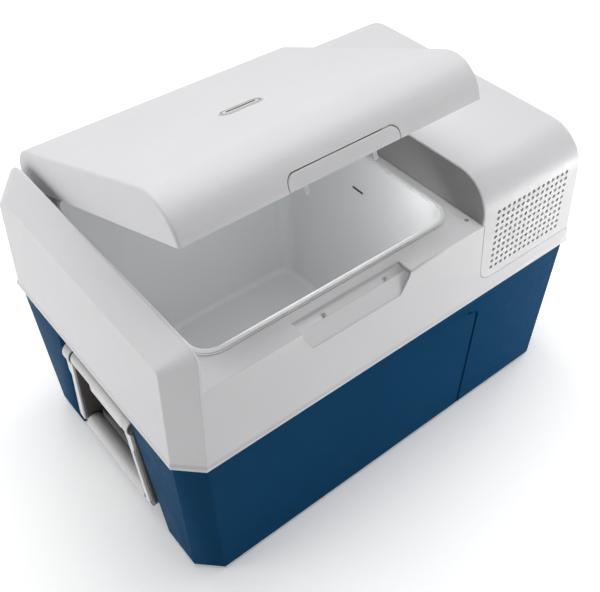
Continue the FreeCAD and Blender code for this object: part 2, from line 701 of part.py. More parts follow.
def handle_bracket():
    """Dark plate on the pocket's back wall with a cheek beside each arm of the bail."""
    outline = [(-113, 30), (113, 30), (93, 226, 6), (-93, 226, 6)]
    plate = prism("yz", outline, POCKET_X + GAP, POCKET_X + 3.5)
    plate = plate.cut(prism("yz", rectangle((-60, 60), (90, 150), 6), 300, 330))
    saddle = box((POCKET_X + 3, HANDLE_X), (-64, 64), (HANDLE_Z - 8, HANDLE_Z + 8))
    return plate.fuse(saddle).cut(along_handle_axis(BARREL_RADIUS + GAP, 70))


def handle_barrel():
    """Fixed barrel between the bail's ears, with a stop lip under it."""
    barrel = along_handle_axis(BARREL_RADIUS, 66)
    inner_x, outer_x = HANDLE_X + 4, HANDLE_X + 12
    outline = [(inner_x, HANDLE_Z - 22), (outer_x, HANDLE_Z - 22, 2),
               (outer_x, HANDLE_Z - 4), (inner_x, HANDLE_Z - 4)]
    return barrel.fuse(prism("xz", outline, -58, 20)).cut(along_handle_axis(4.0, 80))


def bail_arm(side):
    """Arm of the bail from its ear down to the grip, flaring outward as it goes down."""
    top, bottom = 67.0, 84.0
    outline = [(side * top, HANDLE_Z - 6), (side * (top + 18), HANDLE_Z - 6),
               (side * (bottom + 20), GRIP_Z + 8, 6), (side * (bottom + 10), GRIP_Z - GRIP_RADIUS, 6),
               (side * (bottom - 4), GRIP_Z - GRIP_RADIUS), (side * (bottom - 4), GRIP_Z + GRIP_RADIUS)]
    return prism("yz", outline, HANDLE_X - ARM_DEPTH, HANDLE_X + 8.5)


def bail():
    """Dark core of the bail: two ears, two flared arms and a bar inside the grip."""
    pieces = []
    for side in (-1, 1):
        ends = sorted((side * 67.0, side * 85.0))
        ear = rod(BARREL_RADIUS, (HANDLE_X, ends[0], HANDLE_Z), (HANDLE_X, ends[1], HANDLE_Z))
        pieces += [ear, bail_arm(side)]
    bar = box((HANDLE_X - 5, HANDLE_X + 5), (-85, 85), (GRIP_Z - 5, GRIP_Z + 5))
    core = bar.fuse(pieces)
    return core.cut(along_handle_axis(BAIL_BORE, 130))


def bail_grip():
    """Pale rounded grip over the bar."""
    grip = rod(GRIP_RADIUS, (HANDLE_X, -79.5, GRIP_Z), (HANDLE_X, 79.5, GRIP_Z))
    return grip.cut(box((HANDLE_X - 5.2, HANDLE_X + 5.2), (-90, 90), (GRIP_Z - 5.2, GRIP_Z + 5.2)))


def bail_face(side):
    """Pale facing on the outside of an arm, which carries on over its ear as a cap."""
    outline = [(side * 67.5, HANDLE_Z), (side * 84.5, HANDLE_Z), (side * 86.5, HANDLE_Z - 38, 2),
               (side * 82.0, HANDLE_Z - 44, 2), (side * 98.0, GRIP_Z + 6, 4), (side * 86.0, GRIP_Z + 2),
               (side * 69.5, HANDLE_Z - 24)]
    strip = prism("yz", outline, HANDLE_X + 8.8, HANDLE_X + 12.5)
    y0, y1 = sorted((side * 67.5, side * 84.5))
    cap = rod(EAR_CAP_RADIUS, (HANDLE_X, y0, HANDLE_Z), (HANDLE_X, y1, HANDLE_Z))
    cap = cap.common(box((HANDLE_X - 6, HANDLE_X + 20), (-90, 90), (HANDLE_Z - 12, HANDLE_Z + 20)))
    arm_top = box((HANDLE_X - 20, HANDLE_X + 8.8), (-120, 120), (HANDLE_Z - 40, HANDLE_Z - 5.7))
    return strip.fuse(cap.cut(arm_top)).cut(along_handle_axis(BARREL_RADIUS + GAP, 90))


def handle_pin():
    return along_handle_axis(3.98, 86)


# ---- cooling unit -------------------------------------------------------------------------
def base_plate():
    plate = prism("xy", rectangle((124, 303), (-195, 195), 12), 9.4, 11.4)
    for y in ((-195, -193), (193, 195)):
        plate = plate.fuse(box((136, 291), y, (SHELL_FLOOR_Z + GAP, 24)))
    for x, y in COMPRESSOR_FEET:
        plate = plate.cut(rod(3.0, (x, y, 0), (x, y, 30)))
    for x, y in FOOT_SPOTS:
        plate = plate.cut(rod(5.0, (x, y, 0), (x, y, 30)))
    return plate


def compressor():
    """Welded steel can on a four-eared foot plate, with its terminal box and stubs."""
    x, y, r = COMPRESSOR_X, COMPRESSOR_Y, COMPRESSOR_RADIUS
    low, high = COMPRESSOR_Z
    profile = rounded_wire([(V(0, 0, low), 0), (V(r, 0, low), 26), (V(r, 0, high), 38), (V(0, 0, high), 0)])
    can = Part.Face(profile).revolve(V(0, 0, 0), Z_AXIS, 360)
    seam = Part.makeTorus(r, 2.2, V(0, 0, (low + high) / 2), Z_AXIS)
    can = can.fuse(seam)
    can.translate(V(x, y, 0))
    foot = prism("xy", rectangle((x - 74, x + 74), (y - 64, y + 64), 14), 24, 27)
    ring = rod(30, (x, y, 26), (x, y, low + 20))
    terminal = box((x - 24, x + 24), (y - r - 16, y - r + 14), (80, 130))
    body = can.fuse([foot, ring, terminal])
    for fx, fy in COMPRESSOR_FEET:
        body = body.cut(rod(6.3, (fx, fy, 20), (fx, fy, 30)))
    return body


def rubber_mount(x, y):
    """Grommet that carries one foot of the compressor."""
    body = rod(9.0, (x, y, 11.7), (x, y, 23.7))
    neck = rod(6.0, (x, y, 23), (x, y, 27.5))
    cap = rod(9.0, (x, y, 27.3), (x, y, 30))
    return body.fuse(neck).fuse(cap).cut(rod(2.8, (x, y, 0), (x, y, 40)))


def mount_bolt(x, y):
    return rod(2.6, (x, y, 9.2), (x, y, 34)).fuse(prism("xy", hexagon(x, y, 5.0), 30.2, 34))


def hexagon(x, y, radius):
    corners = []
    for i in range(6):
        angle = math.radians(60 * i)
        corners.append((x + radius * math.cos(angle), y + radius * math.sin(angle)))
    return corners


def condenser():
    """Finned block: plates on serpentine tubes."""
    fins = []
    count = 22
    for i in range(count):
        x = CONDENSER_X[0] + 6 + (CONDENSER_X[1] - CONDENSER_X[0] - 12) * i / (count - 1)
        fins.append(box((x - 0.5, x + 0.5), CONDENSER_Y, CONDENSER_Z))
    block = fins[0]
    tubes = []
    for y in (CONDENSER_Y[0] + 9, CONDENSER_Y[1] - 9):
        for z in range(int(CONDENSER_Z[0]) + 14, int(CONDENSER_Z[1]), 20):
            tubes.append(rod(3.5, (CONDENSER_X[0], y, z), (CONDENSER_X[1], y, z)))
    ends = [box((x - 0.8, x + 0.8), grown(CONDENSER_Y, 2), grown(CONDENSER_Z, 2)) for x in CONDENSER_X]
    return block.fuse(fins[1:] + tubes + ends)


def fan_frame():
    half = FAN_SIZE / 2
    outline = rectangle((FAN_X - half, FAN_X + half), (FAN_Z - half, FAN_Z + half), 6)
    frame = prism("xz", outline, *FAN_Y)
    frame = frame.cut(rod(half - 3.0, (FAN_X, -230, FAN_Z), (FAN_X, -150, FAN_Z)))
    hub = rod(17, (FAN_X, FAN_Y[1] - 3, FAN_Z), (FAN_X, FAN_Y[1], FAN_Z))
    spokes = []
    for i in range(4):
        spoke = box((FAN_X - 2, FAN_X + 2), (FAN_Y[1] - 3, FAN_Y[1]), (FAN_Z + 10, FAN_Z + half - 1))
        spokes.append(turned(spoke, 45 + 90 * i, (FAN_X, 0, FAN_Z), Y_AXIS))
    shaft = rod(1.5, (FAN_X, FAN_Y[1] - 20, FAN_Z), (FAN_X, FAN_Y[1], FAN_Z))
    return frame.fuse([hub, shaft] + spokes)


def fan_rotor():
    """Hub and seven pitched blades on the fan's shaft."""
    front, back = FAN_Y[0] + 1.5, FAN_Y[1] - 3.6
    hub = rod(18, (FAN_X, front, FAN_Z), (FAN_X, back, FAN_Z))
    blades = []
    for i in range(7):
        blade = Part.makeBox(1.6, 19, 33, V(-0.8, -9.5, 15))
        blade = turned(blade, 38, (0, 0, 0), Z_AXIS)
        blade.translate(V(FAN_X, (front + back) / 2, FAN_Z))
        blades.append(turned(blade, 360.0 / 7 * i, (FAN_X, 0, FAN_Z), Y_AXIS))
    rotor = hub.fuse(blades)
    rotor = rotor.common(rod(FAN_SIZE / 2 - 4.0, (FAN_X, front, FAN_Z), (FAN_X, back, FAN_Z)))
    return rotor.cut(rod(1.55, (FAN_X, back - 17.2, FAN_Z), (FAN_X, back + 5, FAN_Z)))


def filter_drier():
    profile = rounded_wire([(V(0, 0, 120), 0), (V(9, 0, 128), 2), (V(9, 0, 205), 2), (V(0, 0, 213), 0)])
    body = Part.Face(profile).revolve(V(0, 0, 0), Z_AXIS, 360)
    body.translate(V(CAPILLARY[-1][0], CAPILLARY[-1][1], 0))
    return body.cut(rod(1.6, (134, -100, 209), (134, -100, 230)))


def control_module():
    """Inverter box with cooling ribs."""
    case = prism("yz", rectangle((-60, 30), (52, 168), 5), 250, 285)
    ribs = [box((285, 291), (y, y + 2.5), (60, 160)) for y in range(-52, 22, 9)]
    return case.fuse(ribs)


def end_bezel():
    """Frame of the control panel on the hood's right end."""
    plate = prism("yz", rectangle((-41.6, 41.6), (-23.6, 23.6), 4), -3.0, 1.2)
    plate = plate.cut(prism("yz", rectangle((-16, 34), (-2, 17), 2), -5, 5))
    for y in BUTTON_YS:
        plate = plate.cut(prism("yz", rectangle((y + 58 - 6, y + 58 + 6), (-18, -8), 4), -5, 5))
    return on_right_end(plate, -58, PANEL_Z)


def display_window():
    return on_right_end(prism("yz", rectangle((-15.8, 33.8), (-1.8, 16.8), 1.8), -1.8, 0.8), -58, PANEL_Z)


def display_board():
    return on_right_end(box((-6.4, -4.8), (-40, 40), (-22, 22)), -58, PANEL_Z)


def panel_button(y):
    cap = prism("yz", rectangle((-5.7, 5.7), (-4.7, 4.7), 3.7), -1.8, 2.2)
    stem = box((-3.4, -1.8), (-2, 2), (-2, 2))
    return on_right_end(cap.fuse(stem).translated(V(0, y + 58, -13)), -58, PANEL_Z)


def inlet(half_y, half_z, pins):
    """Recessed appliance inlet with its contact pins; drawn about the origin, +X outward."""
    outline = rectangle((-half_y + GAP, half_y - GAP), (-half_z + GAP, half_z - GAP), 3)
    mouth = rectangle((-half_y + 2.3, half_y - 2.3), (-half_z + 2.3, half_z - 2.3), 2)
    shell = prism("yz", outline, -22, 1.5).cut(prism("yz", mouth, -18, 5))
    return shell.fuse([rod(1.2, (-20, y, 0), (-4, y, 0)) for y in pins])


# ---- the assembly -------------------------------------------------------------------------
def build():
    both = (-1, 1)
    nodes = {
        "lower_shell": lower_shell(),
        "upper_frame": upper_frame(),
        "hood_cover": hood_cover(),
        "hood_side_wall": hood_side_wall(),
        "inner_liner": inner_liner(),
        "rim_trim": rim_trim(),
        "sensor_cover": sensor_cover(),
        "evaporator": evaporator(),
        "insulation_foam": insulation_foam(),
        "bulkhead": bulkhead(),
        "rubber_feet": Part.makeCompound([rubber_foot(x, y) for x, y in FOOT_SPOTS]),
        "base_plate": base_plate(),
        "compressor": compressor(),
        "compressor_mounts": Part.makeCompound([rubber_mount(x, y) for x, y in COMPRESSOR_FEET]),
        "compressor_bolts": Part.makeCompound([mount_bolt(x, y) for x, y in COMPRESSOR_FEET]),
        "condenser": condenser(),
        "fan_frame": fan_frame(),
        "fan_rotor": fan_rotor(),
        "filter_drier": filter_drier(),
        "suction_line": tube_run(SUCTION_LINE, 3.2, 14),
        "capillary_tube": tube_run(CAPILLARY, 1.2, 10),
        "control_module": control_module(),
        "panel_bezel": end_bezel(),
        "display_window": display_window(),
        "display_board": display_board(),
        "dc_inlet": on_right_end(inlet(INLETS["dc_inlet"][1], INLETS["dc_inlet"][2], (-4, 4)),
                                 INLETS["dc_inlet"][0], PANEL_Z),
        "mains_inlet": on_right_end(inlet(INLETS["mains_inlet"][1], INLETS["mains_inlet"][2], (-6, 0, 6)),
                                    INLETS["mains_inlet"][0], PANEL_Z),
        "lid_outer": opened(lid_outer()),
        "lid_badge": opened(badge_plate(0, 0.9)),
        "lid_inner": opened(lid_inner()),
        "lid_foam": opened(lid_foam()),
        "lid_gasket": opened(lid_gasket()),
        "latch_flap": opened(latch_flap()),
        "latch_bracket": opened(latch_bracket()),
        "latch_pin": opened(latch_pin()),
        "latch_spring": opened(latch_spring()),
        "hinge_leaves_body": Part.makeCompound([body_leaf(x) for x in HINGE_XS]),
        "hinge_leaves_lid": opened(Part.makeCompound([lid_leaf(x) for x in HINGE_XS])),
        "hinge_screws": Part.makeCompound([hinge_screw(x) for hinge_x in HINGE_XS
                                           for x in hinge_screw_xs(hinge_x)]),
        "hinge_pins": Part.makeCompound([hinge_pin(x) for x in HINGE_XS]),
    }
    for name, y in zip(BUTTON_NAMES, BUTTON_YS):
        nodes[name] = panel_button(y)
    handle = {
        "handle_bracket": handle_bracket(),
        "handle_barrel": handle_barrel(),
        "handle_pin": handle_pin(),
        "bail": bail(),
        "bail_grip": bail_grip(),
        "bail_facings": Part.makeCompound([bail_face(side) for side in both]),
    }
    for name, shape in handle.items():
        nodes["right_" + name] = shape
        nodes["left_" + name] = mirrored(shape)
    return nodes


os.makedirs("parts", exist_ok=True)
for name, shape in build().items():
    shape.exportStep("parts/" + name + ".step")
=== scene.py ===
import json
import math

import bmesh
import bpy
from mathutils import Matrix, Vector
from mathutils.bvhtree import BVHTree


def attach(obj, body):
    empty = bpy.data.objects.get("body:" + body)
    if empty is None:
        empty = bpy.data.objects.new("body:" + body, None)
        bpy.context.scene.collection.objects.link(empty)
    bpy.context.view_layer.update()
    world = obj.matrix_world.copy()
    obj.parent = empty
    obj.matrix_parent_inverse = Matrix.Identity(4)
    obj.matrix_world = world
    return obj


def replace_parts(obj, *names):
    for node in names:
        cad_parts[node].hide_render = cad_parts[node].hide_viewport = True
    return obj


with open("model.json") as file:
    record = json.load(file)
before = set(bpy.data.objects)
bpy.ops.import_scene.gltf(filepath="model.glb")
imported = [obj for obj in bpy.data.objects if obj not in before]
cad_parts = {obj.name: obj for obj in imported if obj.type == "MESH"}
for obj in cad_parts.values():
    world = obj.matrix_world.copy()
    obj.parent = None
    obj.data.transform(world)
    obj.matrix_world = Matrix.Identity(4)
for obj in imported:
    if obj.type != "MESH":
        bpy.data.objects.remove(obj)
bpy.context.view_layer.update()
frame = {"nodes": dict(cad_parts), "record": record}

NODES = frame["nodes"]
RECORD = frame["record"]
BODY_OF = {node: body for body, members in RECORD["behaviour"]["bodies"].items() for node in members}
SLOT_OF = {part["node"]: part["material_slot"] for part in RECORD["subparts"]}
MM = 0.001

# ---- driving values -----------------------------------------------------------------------
WELD_DISTANCE = 0.02 * MM
FLAT_WITHIN = math.radians(0.4)       # faces this close in angle are merged before rounding
SMOOTH_ANGLE = 32.0                   # edges blunter than this are shaded smooth
ROOM_TO_ROUND = 1.2                   # an edge is rounded if its neighbours are this many widths long
LATCH_RECESS = (Vector((-0.19, -0.30, 0.34)), Vector((0.0, -0.19, 0.385)))
ABOVE_PLUG = (0.106, -0.197, 0.6)     # a ray down from here finds the ledge
PLUG_HALF_X, PLUG_HALF_Y = 2.61 * MM, 2.6 * MM
FLOOR_LEVEL = -0.0002                 # just under the feet
FLOOR_MIDDLE, FLOOR_RADIUS, FLOOR_BEND, FLOOR_WALL = 2.0, 6.0, 1.5, 1.9
FLOOR_GLOW = 0.27

# ---- camera -------------------------------------------------------------------------------
AZIMUTH, ELEVATION = math.radians(-39.303), math.radians(44.654)
TARGET, DISTANCE = Vector((0.0500, 0.0318, 0.1064)), 1.3732
FOCAL = 1.43086           # focal length over the width of the picture
CENTRE_SHIFT = (-0.02844, -0.00255)
SENSOR = 36.0


def make_camera():
    back = Vector((math.sin(AZIMUTH) * math.cos(ELEVATION), -math.cos(AZIMUTH) * math.cos(ELEVATION),
                   math.sin(ELEVATION)))
    data = bpy.data.cameras.new("camera")
    data.sensor_width = SENSOR
    data.lens = FOCAL * SENSOR
    data.shift_x, data.shift_y = CENTRE_SHIFT
    data.clip_end = 30
    camera = bpy.data.objects.new("camera", data)
    bpy.context.scene.collection.objects.link(camera)
    camera.location = TARGET + back * DISTANCE
    camera.rotation_euler = (-back).to_track_quat("-Z", "Y").to_euler()
    bpy.context.scene.camera = camera


# ---- materials ----------------------------------------------------------------------------
class Shader:
    """A Principled material and short ways to add nodes to it. Patterns follow the object's own metres."""

    def __init__(self, name, color, roughness, metallic=0.0, specular=0.5):
        self.material = bpy.data.materials.new(name)
        self.material.use_nodes = True
        self.tree = self.material.node_tree
        self.bsdf = self.tree.nodes["Principled BSDF"]
        self.color = color
        self.roughness = roughness
        self.bsdf.inputs["Base Color"].default_value = (*color, 1)
        self.bsdf.inputs["Roughness"].default_value = roughness
        self.bsdf.inputs["Metallic"].default_value = metallic
        self.bsdf.inputs["Specular IOR Level"].default_value = specular
        self.place = self.tree.nodes.new("ShaderNodeTexCoord").outputs["Object"]
        self.normal = None

    def add(self, kind, **inputs):
        node = self.tree.nodes.new(kind)
        for name, value in inputs.items():
            socket = node.inputs[name.replace("_", " ")]
            if isinstance(value, bpy.types.NodeSocket):
                self.tree.links.new(value, socket)
            else:
                socket.default_value = value
        return node

    def link(self, output, name):
        self.tree.links.new(output, self.bsdf.inputs[name])

    def stretched(self, scale):
        node = self.tree.nodes.new("ShaderNodeMapping")
        node.inputs["Scale"].default_value = scale
        self.tree.links.new(self.place, node.inputs["Vector"])
        return node.outputs["Vector"]

    def noise(self, scale, detail=3.0, stretch=None):
        """Noise with features about 1/scale metres across, from 0 to 1."""
        place = self.stretched(stretch) if stretch else self.place
        return self.add("ShaderNodeTexNoise", Vector=place, Scale=scale, Detail=detail).outputs["Fac"]

    def ranged(self, value, low, high, start=0.3, end=0.7):
        node = self.tree.nodes.new("ShaderNodeMapRange")
        self.tree.links.new(value, node.inputs["Value"])
        for name, number in (("From Min", start), ("From Max", end), ("To Min", low), ("To Max", high)):
            node.inputs[name].default_value = number
        return node.outputs["Result"]

    def tint(self, amount, scale=9.0):
        """Slow drift of the colour, lighter and darker by amount."""
        lighter = [min(1.0, channel * (1 + amount)) for channel in self.color]
        darker = [channel * (1 - amount) for channel in self.color]
        self.blend_colors(self.noise(scale, 4.0), darker, lighter)

    def blend_colors(self, factor, first, second, start=0.3, end=0.7):
        mix = self.tree.nodes.new("ShaderNodeMix")
        mix.data_type = "RGBA"
        self.tree.links.new(self.ranged(factor, 0.0, 1.0, start, end), mix.inputs["Factor"])
        mix.inputs["A"].default_value = (*first, 1)
        mix.inputs["B"].default_value = (*second, 1)
        self.link(mix.outputs["Result"], "Base Color")

    def worn_edges(self, color, amount):
        """Rubbed edges: the base colour drifts towards color where the surface is sharply convex."""
        source = self.bsdf.inputs["Base Color"].links
        edge = self.ranged(self.tree.nodes.new("ShaderNodeNewGeometry").outputs["Pointiness"],
                           0.0, amount, 0.53, 0.62)
        mix = self.tree.nodes.new("ShaderNodeMix")
        mix.data_type = "RGBA"
        self.tree.links.new(edge, mix.inputs["Factor"])
        if source:
            self.tree.links.new(source[0].from_socket, mix.inputs["A"])
        else:
            mix.inputs["A"].default_value = (*self.color, 1)
        mix.inputs["B"].default_value = (*color, 1)
        self.link(mix.outputs["Result"], "Base Color")

    def vary_roughness(self, amount, scale=60.0, stretch=None):
        value = self.noise(scale, 4.0, stretch)
        self.link(self.ranged(value, self.roughness - amount, self.roughness + amount), "Roughness")

    def bump(self, height, depth):
        """Relief of depth metres, laid over any relief added before."""
        node = self.tree.nodes.new("ShaderNodeBump")
        node.inputs["Strength"].default_value = 1.0
        node.inputs["Distance"].default_value = depth
        self.tree.links.new(height, node.inputs["Height"])
        if self.normal:
            self.tree.links.new(self.normal, node.inputs["Normal"])
        self.normal = node.outputs["Normal"]
        self.link(self.normal, "Normal")


def moulded(name, color, roughness, grain=1400.0, grain_depth=0.00003, drift=0.03, specular=0.5):
    """Moulded plastic: fine spark-eroded grain, faint flow marks, slightly polished high spots."""
    shader = Shader(name, color, roughness, specular=specular)
    shader.tint(drift)
    shader.vary_roughness(0.05)
    shader.bump(shader.noise(grain, 2.0), grain_depth)
    shader.bump(shader.noise(14.0, 1.0, (1.0, 1.0, 0.4)), 0.00003)
    return shader


def grey_shell():
    shader = moulded("grey_shell", (0.70, 0.69, 0.705), 0.42, drift=0.012, specular=0.4)
    shader.worn_edges((0.86, 0.86, 0.86), 0.5)
    return shader


def blue_shell():
    shader = moulded("blue_shell", (0.001, 0.046, 0.118), 0.45, grain=1100.0, grain_depth=0.00005, drift=0.03,
                     specular=0.01)
    shader.worn_edges((0.03, 0.10, 0.19), 0.35)
    return shader


def hood_wall():
    return moulded("hood_wall", (0.29, 0.285, 0.29), 0.45, drift=0.02)


def liner_white():
    return moulded("liner_white", (0.88, 0.89, 0.895), 0.42, grain=900.0, grain_depth=0.000005, drift=0.005)


def rim_bead():
    return moulded("rim_bead", (0.80, 0.80, 0.80), 0.3, drift=0.01)


def black_plastic():
    return moulded("black_plastic", (0.022, 0.022, 0.024), 0.5, drift=0.15)


def dark_bracket():
    """Glass-filled nylon: faint fibre streaks under a matt skin."""
    shader = moulded("dark_bracket", (0.085, 0.075, 0.07), 0.55, grain=700.0, grain_depth=0.00006, drift=0.1)
    shader.bump(shader.noise(300.0, 3.0, (1.0, 1.0, 0.12)), 0.00004)
    shader.worn_edges((0.20, 0.19, 0.18), 0.4)
    return shader


def handle_grey():
    shader = moulded("handle_grey", (0.70, 0.695, 0.69), 0.4, drift=0.015)
    shader.worn_edges((0.85, 0.85, 0.85), 0.4)
    return shader


def button_grey():
    return moulded("button_grey", (0.42, 0.42, 0.43), 0.6, grain=900.0, drift=0.05)


def badge():
    return moulded("badge", (0.66, 0.655, 0.66), 0.3, drift=0.01)


def rubber():
    shader = moulded("rubber", (0.03, 0.03, 0.03), 0.75, grain=500.0, grain_depth=0.0001, drift=0.2)
    shader.bsdf.inputs["Sheen Weight"].default_value = 0.2
    return shader


def foam():
    """Rigid foam: small open cells under a torn skin."""
    shader = Shader("foam", (0.80, 0.72, 0.50), 0.85)
    shader.tint(0.12, 40.0)
    cells = shader.add("ShaderNodeTexVoronoi", Vector=shader.place, Scale=650.0).outputs["Distance"]
    shader.bump(cells, 0.0004)
    return shader


def brushed(name, color, roughness, stretch, streaks=900.0):
    shader = Shader(name, color, roughness, metallic=1.0)
    shader.tint(0.06, 30.0)
    shader.vary_roughness(0.12, streaks, stretch)
    shader.bump(shader.noise(streaks, 2.0, stretch), 0.00002)
    return shader


def galvanised_sheet():
    """Zinc spangle: large flat crystals of slightly different brightness."""
    shader = Shader("galvanised_sheet", (0.62, 0.64, 0.66), 0.4, metallic=1.0)
    crystals = shader.add("ShaderNodeTexVoronoi", Vector=shader.place, Scale=120.0).outputs["Color"]
    shader.blend_colors(crystals, (0.48, 0.50, 0.52), (0.72, 0.74, 0.76), 0.0, 1.0)
    shader.link(shader.ranged(crystals, 0.3, 0.5, 0.0, 1.0), "Roughness")
    return shader


def steel_hardware():
    return brushed("steel_hardware", (0.66, 0.66, 0.63), 0.32, (1.0, 0.1, 1.0))


def evaporator_metal():
    return brushed("evaporator_metal", (0.80, 0.81, 0.82), 0.35, (0.1, 0.1, 1.0))


def fin_metal():
    return brushed("fin_metal", (0.74, 0.75, 0.77), 0.4, (1.0, 0.2, 0.2))


def copper_pipe():
    """Drawn copper with darker heat marks in patches along it."""
    shader = Shader("copper_pipe", (0.78, 0.40, 0.24), 0.3, metallic=1.0)
    shader.blend_colors(shader.noise(25.0, 3.0), (0.42, 0.19, 0.11), (0.82, 0.44, 0.27), 0.35, 0.55)
    shader.vary_roughness(0.1, 80.0)
    return shader


def compressor_black():
    """Sprayed enamel with a little orange peel."""
    shader = Shader("compressor_black", (0.012, 0.012, 0.013), 0.3)
    shader.tint(0.3, 30.0)
    shader.bump(shader.noise(260.0, 2.0), 0.00008)
    shader.bsdf.inputs["Coat Weight"].default_value = 0.3
    return shader


def display_glass():
    shader = Shader("display_glass", (0.012, 0.016, 0.018), 0.08)
    shader.vary_roughness(0.03, 30.0)
    shader.bsdf.inputs["Coat Weight"].default_value = 1.0
    return shader


def board_green():
    """Solder mask with straight copper tracks showing faintly through it."""
    shader = Shader("board_green", (0.02, 0.16, 0.07), 0.35)
    tracks = shader.add("ShaderNodeTexBrick", Vector=shader.stretched((0.0, 1.0, 1.0)), Scale=90.0)
    shader.blend_colors(tracks.outputs["Fac"], (0.02, 0.16, 0.07), (0.05, 0.26, 0.12), 0.0, 1.0)
    shader.bump(tracks.outputs["Fac"], 0.00005)
    return shader


MAKERS = (grey_shell, blue_shell, hood_wall, liner_white, rim_bead, black_plastic, dark_bracket, handle_grey,
          button_grey, badge, rubber, foam, galvanised_sheet, steel_hardware, evaporator_metal, fin_metal,
          copper_pipe, compressor_black, display_glass, board_green)
MATERIALS = {maker.__name__: maker().material for maker in MAKERS}


# ---- pieces -------------------------------------------------------------------------------
def add_piece(name, mesh, node, slot=None):
    """Shown object made of mesh, on node's body, with node's slot and material or those of slot."""
    slot = slot or SLOT_OF[node]
    data = bpy.data.meshes.new(name)
    mesh.to_mesh(data)
    mesh.free()
    data.shade_smooth()
    data.set_sharp_from_angle(angle=math.radians(SMOOTH_ANGLE))
    piece = bpy.data.objects.new(name, data)
    bpy.context.scene.collection.objects.link(piece)
    weighted = piece.modifiers.new("weighted", "WEIGHTED_NORMAL")
    weighted.keep_sharp = True
    data.materials.append(MATERIALS[slot])
    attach(piece, BODY_OF[node])
    return piece


def welded(node):
    """The node's surface as one connected mesh, with no needless edges on its flat faces."""
    mesh = bmesh.new()
    mesh.from_mesh(NODES[node].data)
    bmesh.ops.remove_doubles(mesh, verts=mesh.verts, dist=WELD_DISTANCE)
    bmesh.ops.dissolve_degenerate(mesh, dist=WELD_DISTANCE / 2, edges=mesh.edges)
    bmesh.ops.dissolve_limit(mesh, angle_limit=FLAT_WITHIN, verts=mesh.verts, edges=mesh.edges)
    many_sided = [face for face in mesh.faces if len(face.verts) > 4]
    bmesh.ops.triangulate(mesh, faces=many_sided, ngon_method="BEAUTY")
    return mesh


def near_latch(edge):
    """Whether an edge lies in the latch recess, where the hook pockets are."""
    middle = (edge.verts[0].co + edge.verts[1].co) / 2
    low, high = LATCH_RECESS
    return all(low[axis] < middle[axis] < high[axis] for axis in range(3))


def soften(node, width, sharper_than=28.0, segments=3):
    """Piece that stands for a CAD node, with its sharp edges rounded over width."""
    mesh = welded(node)
    chosen = []
    for edge in mesh.edges:
        if len(edge.link_faces) != 2 or edge.calc_face_angle(0.0) < math.radians(sharper_than):
            continue
        around = [other.calc_length() for vert in edge.verts for other in vert.link_edges]
        if min(around) > ROOM_TO_ROUND * width and not (node == "upper_frame" and near_latch(edge)):
            chosen.append(edge)
    bmesh.ops.bevel(mesh, geom=chosen, offset=width, segments=segments, profile=0.5, affect="EDGES")
    piece = add_piece(node + "_piece", mesh, node)
    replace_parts(piece, node)
    return piece


SOFT_EDGES = {   # rounding in mm of each shown moulding or casing
    "lower_shell": 1.0, "upper_frame": 0.9, "hood_cover": 0.9, "hood_side_wall": 0.5, "inner_liner": 0.5,
    "rim_trim": 0.35, "lid_outer": 0.8, "latch_flap": 0.5, "lid_inner": 0.8,
    "lid_gasket": 0.6, "latch_bracket": 0.5, "panel_bezel": 0.5, "display_window": 0.3,
    "power_button": 0.5, "mode_button": 0.5, "down_button": 0.5, "up_button": 0.5,
    "dc_inlet": 0.4, "mains_inlet": 0.4, "base_plate": 0.5, "fan_frame": 0.6, "control_module": 0.8,
    "rubber_feet": 0.6, "hinge_leaves_body": 0.3, "hinge_leaves_lid": 0.3,
}
for end in ("left", "right"):
    for part, width in (("handle_bracket", 0.6), ("handle_barrel", 0.8), ("bail", 1.4), ("bail_facings", 1.0),
                        ("bail_grip", 0.6)):
        SOFT_EDGES[end + "_" + part] = width


def pill_points(half_x, half_y, count=20):
    """Points round a pill, counted anticlockwise."""
    points = []
    for side, turn in ((1, 0.0), (-1, math.pi)):
        for step in range(count + 1):
            angle = turn + math.pi * (step / count - 0.5)
            points.append((side * (half_x - half_y) + half_y * math.cos(angle), half_y * math.sin(angle)))
    return points


def add_pill(mesh, place, half_x, half_y, steps):
    """Closed pill-shaped solid whose surface follows steps of (inset, height), first to last."""
    rings = []
    for inset, height in steps:
        outline = pill_points(half_x - inset, half_y - inset)
        rings.append([mesh.verts.new(place(x, y, height)) for x, y in outline])
    for lower, upper in zip(rings, rings[1:]):
        for index in range(len(lower)):
            after = (index + 1) % len(lower)
            mesh.faces.new((lower[index], lower[after], upper[after], upper[index]))
    mesh.faces.new(reversed(rings[0]))
    mesh.faces.new(rings[-1])


def add_band(mesh, place, half_x, half_y, width, heights):
    """Closed ring of a pill's outline, width across, between two heights."""
    low, high = heights
    rings = [[mesh.verts.new(place(x, y, height)) for x, y in pill_points(half_x - inset, half_y - inset)]
             for inset, height in ((0, low), (0, high), (width, high), (width, low))]
    for ring, after_ring in zip(rings, rings[1:] + rings[:1]):
        for index in range(len(ring)):
            after = (index + 1) % len(ring)
            mesh.faces.new((ring[index], ring[after], after_ring[after], after_ring[index]))


